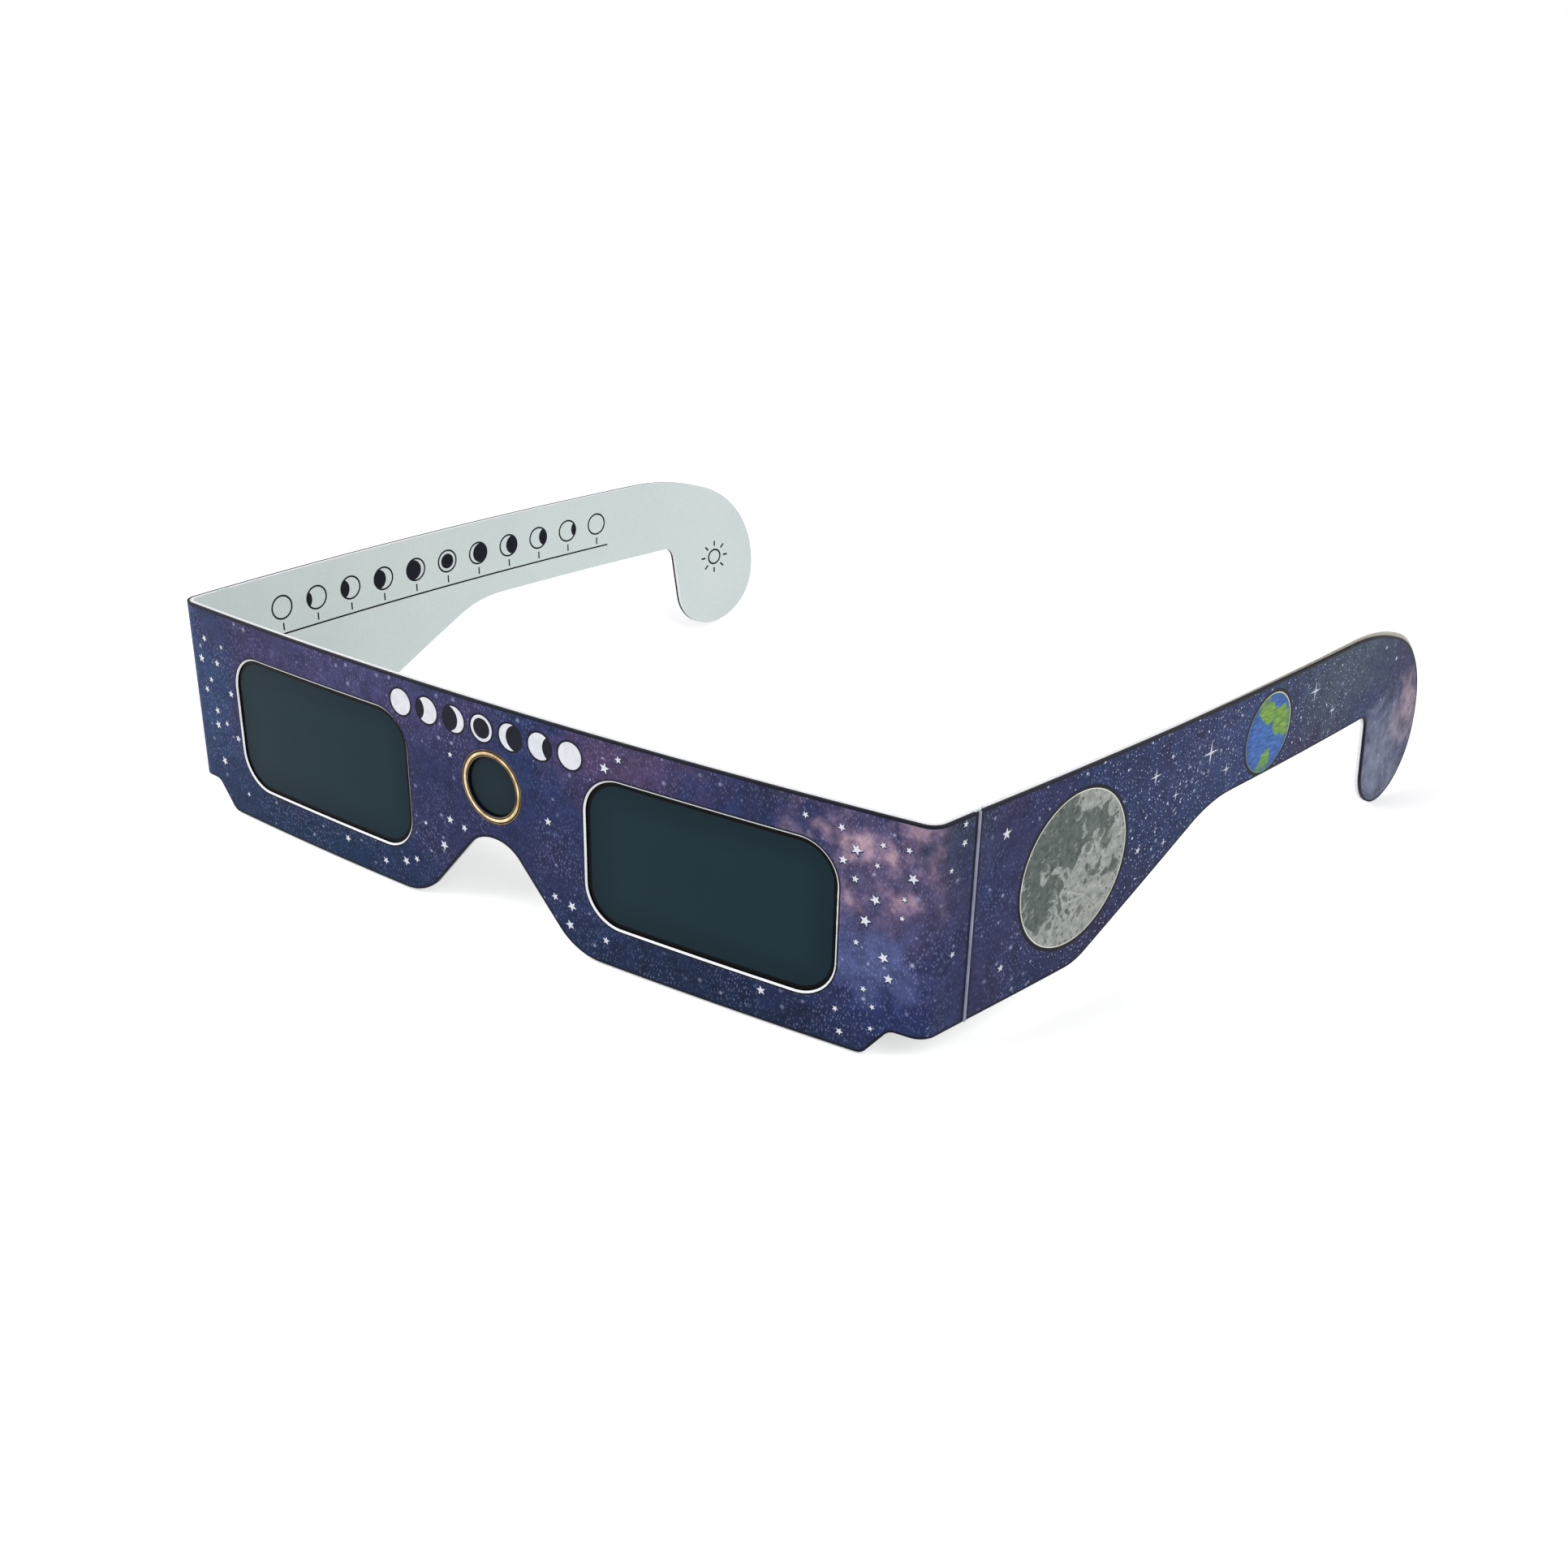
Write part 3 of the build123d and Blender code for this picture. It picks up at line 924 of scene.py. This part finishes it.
def inside_marks(side):
    """The print inside an arm, white parts as zone 0 and black ones as zone 3."""
    middle = on_arm(side, guide_phases)
    marks = phase_marks(middle, guide_pitch, guide_radius, guide_shares, 0, 3)
    half = guide_pitch * (len(guide_shares) - 1) / 2
    foot = middle.real + 1j * rule_height
    marks.append((oblong(foot - half - rule_overrun, foot + half + rule_overrun, rule_width), 3))
    for index in range(len(guide_shares)):
        tick = foot - half + guide_pitch * index + 1j * rule_width * 2
        marks.append((oblong(tick, tick + 1j * tick_height, rule_width), 3))
    centre = on_arm(side, sun_place)
    marks += [(circle(centre, sun_radius), 3), (circle(centre, sun_radius - sun_line), 0)]
    for index in range(ray_count):
        ray = cmath.rect(1, 2 * pi * index / ray_count)
        marks.append((oblong(centre + ray * ray_start, centre + ray * ray_end, sun_line), 3))
    return marks


arm_faces = {}
for side in sides:
    start = corners[side].crease
    even = np.arange(start + even_columns, start + arm_length, column_step)
    columns = np.sort(side * np.array([*(start + run for run in root_columns), *even]))
    body = f"{side_name[side]}_arm"
    form = [on_arm(side, point) for point in arm_path()], columns, arm_place(side)
    card = board(
        f"{body}_printed_card_face",
        form,
        (0, printed_ply),
        (sky, black_ink, cut_edge, white_ink, moon_material(side), planet_material(side)),
        marks=outside_marks(side),
        border=outline_ink,
    )
    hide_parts(f"{body}_printed_card")
    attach(card, body)
    arm_faces[side] = card
    liner = board(
        f"{body}_white_card_face",
        form,
        (card_thickness, liner_depth),
        (white_card, knife_line, cut_edge, black_ink),
        marks=inside_marks(side) if side < 0 else (),
    )
    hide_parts(f"{body}_white_liner")
    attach(liner, body)


# Stars printed over the night sky: pale five-pointed ones with a dark shadow below, screen printed, so that
# the ink stands a hair proud. Geometry Nodes scatter them where the card has room, one mesh for each body.
# The shadow is dark blue halftone: flat and matt, a little uneven where the dots run together.
star_ink_height = 0.03
star_shadow_height = 0.014
star_shadow_drop = 0.13
star_shadow_growth = 1.3
star_least_room = 0.35
star_shadow = mottled("Offset_ink_star_shadow", 0.8, 3.0, ("#131C3C", "#222C55"), **varnish)


def star_scatter():
    """The tree that scatters stars on a card's printed face."""
    tree = bpy.data.node_groups.new("Printed_stars", "GeometryNodeTree")
    sockets = {
        "Geometry": ("Card",),
        "Int": ("Points", "Seed"),
        "Float": ("Radius", "Waist", "Spacing", "Density"),
        "Material": ("Star ink", "Shadow ink"),
    }
    for kind, names in sockets.items():
        for name in names:
            tree.interface.new_socket(name, in_out="INPUT", socket_type=f"NodeSocket{kind}")
    tree.interface.new_socket("Stars", in_out="OUTPUT", socket_type="NodeSocketGeometry")
    add = partial(add_node, tree)
    given = add("NodeGroupInput").outputs
    seed = given["Seed"]

    room = add("GeometryNodeInputNamedAttribute FLOAT", "star_room")
    spread = {"Distance_Min": given["Spacing"], "Density_Max": given["Density"], "Density_Factor": room}
    spread |= {"Seed": seed, "distribute_method": "POISSON"}
    spots = add("GeometryNodeDistributePointsOnFaces", given["Card"], **spread)
    cramped = add("FunctionNodeCompare LESS_THAN", room, star_least_room)
    kept = add("GeometryNodeDeleteGeometry", spots.outputs["Points"], cramped, domain="POINT")
    turn = add("FunctionNodeRandomValue FLOAT", 0, 2 * pi, Seed=seed)
    turn = add("FunctionNodeEulerToRotation", add("CombineXYZ", Z=turn))
    turned = add("FunctionNodeRotateRotation", spots.outputs["Rotation"], turn, rotation_space="LOCAL")
    size = add("FunctionNodeRandomValue FLOAT", 0.5, 1.2, Seed=add("Math ADD", seed, 1))

    waist = add("Math MULTIPLY", given["Radius"], given["Waist"])
    outline = add("GeometryNodeCurveStar", given["Points"], waist, given["Radius"])
    face = add("GeometryNodeFillCurve", outline, mode="TRIANGLES")
    under = add("GeometryNodeFlipFaces", face)
    joined = add("GeometryNodeJoinGeometry")
    for height, growth, drop, shadow in (
        (star_ink_height, 1.0, 0.0, False),
        (star_shadow_height, star_shadow_growth, star_shadow_drop, True),
    ):
        upwards = {"Offset_Scale": height * mm, "Individual": False, "mode": "FACES"}
        solid = add("GeometryNodeJoinGeometry", add("GeometryNodeExtrudeMesh", face, **upwards))
        tree.links.new(under.outputs[0], solid.inputs[0])
        solid = add("GeometryNodeMergeByDistance", solid, Distance=height * mm / 5)
        marked = {"Name": "star_shadow", "Value": shadow, "domain": "FACE"}
        solid = add("GeometryNodeStoreNamedAttribute BOOLEAN", solid, **marked)
        dropped = add("GeometryNodeSetPosition", kept, Offset=(0, 0, -drop * mm))
        scale = add("Math MULTIPLY", size, growth)
        layer = add("GeometryNodeInstanceOnPoints", dropped, Instance=solid, Rotation=turned, Scale=scale)
        tree.links.new(layer.outputs[0], joined.inputs[0])

    real = add("GeometryNodeRealizeInstances", joined)
    inked = add("GeometryNodeSetMaterial", real, Material=given["Star ink"])
    shadowed = add("GeometryNodeInputNamedAttribute BOOLEAN", "star_shadow")
    add("NodeGroupOutput", add("GeometryNodeSetMaterial", inked, shadowed, given["Shadow ink"]))
    return tree


star_tree = star_scatter()


def print_stars(card, body, values):
    """Evaluates the star tree on a card and keeps its result as a plain mesh."""
    sower = link(card.data)
    sower.modifiers.new("Printed_stars", "NODES").node_group = star_tree
    for socket in star_tree.interface.items_tree:
        if socket.name in values:
            sower.modifiers[0][socket.identifier] = values[socket.name]
    evaluated = sower.evaluated_get(bpy.context.evaluated_depsgraph_get())
    mesh = bpy.data.meshes.new_from_object(evaluated)
    mesh.name = f"{body}_printed_stars"
    bpy.data.objects.remove(sower)
    stars = link(mesh)
    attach(stars, body)


any_star = {"Points": 5, "Star ink": white_ink, "Shadow ink": star_shadow}
front_stars = {"Radius": 0.77 * mm, "Waist": 0.42, "Spacing": 2.7 * mm, "Density": 100000.0, "Seed": 4}
print_stars(front_card, "front", any_star | front_stars)
arm_stars = {"Radius": 0.6 * mm, "Waist": 0.4, "Spacing": 5.0 * mm, "Density": 14000.0}
for side in sides:
    print_stars(arm_faces[side], f"{side_name[side]}_arm", any_star | arm_stars | {"Seed": 9 + side})


# Solar filter film behind each window: 0.12 mm black polymer, cut larger than its window and held between the
# boards. Its skin is dull, a deep teal black with slow ripples. Painted shade darkens it towards each
# window's edge, and the black band just inside the edge is a painted shadow of the boards round it. The three
# films are one material, and their inks differ only as painted light and shade.
film_rim_shadow = 0.75
round_film_rim_shadow = 0.25
film_shade_fade = 6.0
film_edge = 0.06
film_cloud = 9.0
film_ripple = 14.0
any_depth = 1000.0
films = (
    # name, middle, half size, corner radius, painted rim shadow, ink in the middle, painted shade at the rim
    ("left", -window_place.conjugate(), window_size / 2, window_radius, film_rim_shadow, "#142830", "#10222B"),
    ("right", window_place, window_size / 2, window_radius, film_rim_shadow, "#172932", "#12232B"),
    ("centre", round_place, round_radius * (1 + 1j), round_radius, round_film_rim_shadow, "#18282F", "#15232A"),
)


def dress(node, material):
    """Gives a solid of the frame its material."""
    materials = frame["nodes"][node].data.materials
    materials.clear()
    materials.append(material)


for name, middle, half, radius, rim_shadow_width, centre_ink, shaded_edge_ink in films:
    film, add = new_material(f"Black_polymer_film_{name}")
    place = add("TexCoord").outputs["Object"]

    # How far a place lies from the middle, or past the core of the rounded oblong
    offset = add("VectorMath SCALE", place, 1 / mm)
    offset = add("VectorMath SUBTRACT", offset, (nose.real + middle.real, 0, middle.imag))
    away = add("VectorMath ABSOLUTE", offset)
    core = (half.real - radius, any_depth, half.imag - radius)
    past = add("VectorMath SUBTRACT", away, core)
    outside = add("VectorMath LENGTH", add("VectorMath MAXIMUM", past))
    x, _, z = add("SeparateXYZ", past).outputs
    within = add("Math MINIMUM", add("Math MAXIMUM", x, z), 0)
    reach = add("Math ADD", outside, within)

    # Painted shade: the ink darkens towards the rim, and past the edge it turns black as a painted shadow
    edge = radius - rim_shadow_width
    fade = add("MapRange SMOOTHSTEP", reach, edge - film_shade_fade, edge)
    rim = add("MapRange", reach, edge - film_edge, edge + film_edge)
    cloud = add("TexNoise", place, Scale=1 / (film_cloud * mm), Detail=2)
    ripple = add("TexNoise", place, Scale=1 / (film_ripple * mm), Detail=3)
    colour = add("Mix RGBA", fade, centre_ink, shaded_edge_ink)
    colour = add("VectorMath SCALE", colour, add("MapRange", cloud, 0, 1, 0.92, 1.08))
    colour = add("Mix RGBA", rim, colour, "#020304")
    relief = add("Bump", Strength=0.25, Distance=0.2 * mm, Height=ripple)
    dull = {"Roughness": 0.34, "IOR": 1.5, "Specular_IOR_Level": 0.06}
    add("OutputMaterial", add("BsdfPrincipled", colour, Normal=relief, **dull))
    dress(f"{name}_filter_film", film)


# The adhesive sheets: clear pressure-sensitive acrylic that holds the boards together, with a pocket for each
# film. Only the edge shows, set back a little from the cut, as a yellowish grey line with a soft gloss.
adhesive = mottled("Acrylic_adhesive_sheet", 2, 3.0, ("#8F8C80", "#B5B2A6"), Roughness=0.4, IOR=1.47)
for name in ("front", "left_arm", "right_arm"):
    dress(f"{name}_glue_sheet", adhesive)


# The creases: where the card is scored and folded, its outer fibres roll into a slim bead along the fold. The
# bead is painted a pale violet grey, lighter than the print round it, as a painted highlight along the fold,
# in short streaks that run along the bead.
bead_streak_size = 0.8
bead, add = new_material("Rubbed_card_fibre_crease")
drawn = add("Mapping", add("TexCoord").outputs["Object"], Scale=(1, 1, 0.35))
bead_streaks = add("TexNoise", drawn, Scale=1 / (bead_streak_size * mm), Detail=5)
colour = add("Mix RGBA", bead_streaks, "#5A5C7C", "#9A9CB8")
relief = add("Bump", Strength=0.4, Distance=0.05 * mm, Height=bead_streaks)
add("OutputMaterial", add("BsdfPrincipled", colour, Roughness=0.55, Normal=relief))
for side in sides:
    dress(f"{side_name[side]}_fold_bead", bead)


# Inside each crease the white board isn't cut through: its fibres fill the V of the score from the inner face
# almost to the bead. The fill is one wedge round the fold.
fold_inner = 0.5
fold_dip = 0.16
fold_steps = 16


def fold_mesh(side):
    """The wedge between the tab's slanted edge and the arm's, seen from above as a dished sector."""
    crease = corners[side].crease
    middle = 0.5j * card_height
    start = front_place(np.array([side * (crease - score_gap) + middle]), card_thickness)[0]
    end = arm_place(side)(np.array([side * (crease + score_gap) + middle]), card_thickness)[0]
    first, last = (complex(*place[:2]) - crease_at[side] for place in (start, end))
    turn = cmath.phase(last / first)
    places = []
    for share in np.linspace(0, 1, fold_steps + 1):
        inner = crease_at[side] + first / abs(first) * cmath.exp(1j * turn * share) * fold_inner
        outer = crease_at[side] + (first + (last - first) * share) * (1 - fold_dip * sin(pi * share))
        rung = [(inner, step_rise), (inner, card_height), (outer, card_height), (outer, step_rise)]
        places += [(spot.real, spot.imag, height) for spot, height in (rung if turn > 0 else rung[::-1])]
    mesh = loft(f"{side_name[side]}_crease_fibres", places, 4, False, white_card)
    return mesh, tuple(start * mm), tuple(end * mm)


for side in sides:
    mesh, start, end = fold_mesh(side)
    fibres = link(mesh)
    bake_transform(fibres)
    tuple(start)
    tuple(end)


# The foil ring round the small window: a hot-stamped gold band, crowned by the die, with a hair-thin bronze
# ring on each side of it. They lie on the black ink round the hole, which shows between them.
foil_rings = (
    # name, inner radius, outer radius, height
    ("band", 5.4, 5.84, 0.1),
    ("inner_hairline", 5.08, 5.22, 0.05),
    ("outer_hairline", 6.07, 6.22, 0.04),
)
ring_steps = 120
crown_steps = 7
foil_tone = 2.2
foil_mark = 0.3


def foil_material(name, low_ink, high_ink, roughness):
    """Stamped foil: smooth metal with a slow change of tone, and the die's turning marks drawn coarse enough
    to show."""
    material, add = new_material(name)
    place = add("TexCoord").outputs["Object"]
    tone = add("TexNoise", place, Scale=1 / (foil_tone * mm), Detail=4)
    colour = add("Mix RGBA", add("MapRange", tone, 0.35, 0.65), low_ink, high_ink)
    marks = add("TexNoise", place, Scale=1 / (foil_mark * mm), Detail=3)
    relief = add("Bump", Strength=0.2, Distance=0.03 * mm, Height=marks)
    add("OutputMaterial", add("BsdfPrincipled", colour, 1, roughness, Normal=relief))
    return material


def ring_mesh(name, inner, outer, height, material):
    """A flat band with a crowned top, closed underneath, laid on the card round the small window."""
    shares = np.arange(crown_steps + 1) / crown_steps
    radii = np.array([inner, *(inner + (outer - inner) * shares), outer])
    rises = np.array([0.0, *(height * (0.45 + 0.55 * np.sin(pi * shares))), 0.0])
    turns = np.exp(2j * pi * np.arange(ring_steps) / ring_steps)
    places = front_place((round_place + turns[:, None] * radii).ravel(), -np.tile(rises, ring_steps))
    return loft(name, places, len(radii), True, material)


gold = foil_material("Hot_stamped_gold_foil", "#B0905C", "#EAD6A8", 0.32)
bronze = foil_material("Hot_stamped_bronze_foil", "#5C4C3A", "#8C7654", 0.38)
for name, inner, outer, height in foil_rings:
    ring = link(ring_mesh(f"foil_ring_{name}", inner, outer, height, gold if name == "band" else bronze))
    if name == "band":
        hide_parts("centre_foil_ring")
    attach(ring, "front")


# The room: a plain white floor that keeps the object's soft shadow, a white background, two wide soft lamps,
# and the camera at the photograph's angle.
photo_pixels = 1932
focal_pixels = 2077.183
sensor = 36.0
camera_place = nose + (169.776 - 176.324j)
camera_height = 134.683
camera_azimuth = radians(33.668)
camera_elevation = radians(24.561)
camera_roll = radians(1.427)

lens = bpy.data.cameras.new("camera")
lens.sensor_width = sensor
lens.lens = focal_pixels / photo_pixels * sensor
lens.clip_start = 0.01
lens.clip_end = 20
camera = link(lens)
place = Vector((camera_place.real, camera_place.imag, camera_height)) * mm
camera.matrix_world = Matrix.Translation(place)
for angle, axis in ((camera_azimuth, "Z"), (pi / 2 - camera_elevation, "X"), (camera_roll, "Z")):
    camera.matrix_world @= Matrix.Rotation(angle, 4, axis)
bpy.context.scene.camera = camera

floor_half = 2000.0
floor_drop = 0.4
world_light = 0.57
floor_glow = 0.26
glow_near = 0.17
glow_far = 0.42
lamps = (
    # name, place, size, power
    ("left_softbox", (-0.55, -0.75, 0.75), 0.9, 8.3),
    ("right_softbox", (0.85, -0.45, 0.85), 0.9, 7.4),
)

# The floor glows white to the camera and to glossy rays, and less near the object, so that its shadow shows
floor_paint, add = new_material("White_studio_floor")
seen = add("LightPath").outputs
looked_at = add("Math MAXIMUM", seen["Is Camera Ray"], seen["Is Glossy Ray"])
away = add("VectorMath LENGTH", add("TexCoord").outputs["Object"])
glow_share = add("MapRange", away, glow_near, glow_far, floor_glow, 1)
glow = add("Emission", "#FFFFFF", add("Math MULTIPLY", looked_at, glow_share))
plain = add("BsdfDiffuse", "#F3F3F3")
add("OutputMaterial", add("AddShader", glow, plain))
corners_of_floor = [(x * floor_half, y * floor_half, 0) for x, y in ((-1, -1), (1, -1), (1, 1), (-1, 1))]
floor = link(new_mesh("floor", corners_of_floor, [(0, 1, 2, 3)], floor_paint))
floor.location.z = -floor_drop * mm

world = bpy.data.worlds.new("studio")
world.use_nodes = True
bpy.context.scene.world = world
world.node_tree.nodes.clear()
add = partial(add_node, world.node_tree)
seen = add("LightPath").outputs
direct = add("Math MAXIMUM", seen["Is Camera Ray"], seen["Is Transmission Ray"])
direct = add("Math MAXIMUM", direct, seen["Is Glossy Ray"])
strength = add("MapRange", direct, 0, 1, world_light, 1)
add("OutputWorld", add("Background", "#FFFFFF", strength))

for name, place, size, power in lamps:
    lamp = bpy.data.lights.new(name, "AREA")
    lamp.shape = "DISK"
    lamp.size = size
    lamp.energy = power
    piece = link(lamp)
    piece.location = place
    piece.rotation_mode = "QUATERNION"
    piece.rotation_quaternion = Vector(place).to_track_quat("Z", "Y")

bpy.context.scene.view_settings.view_transform = "Standard"
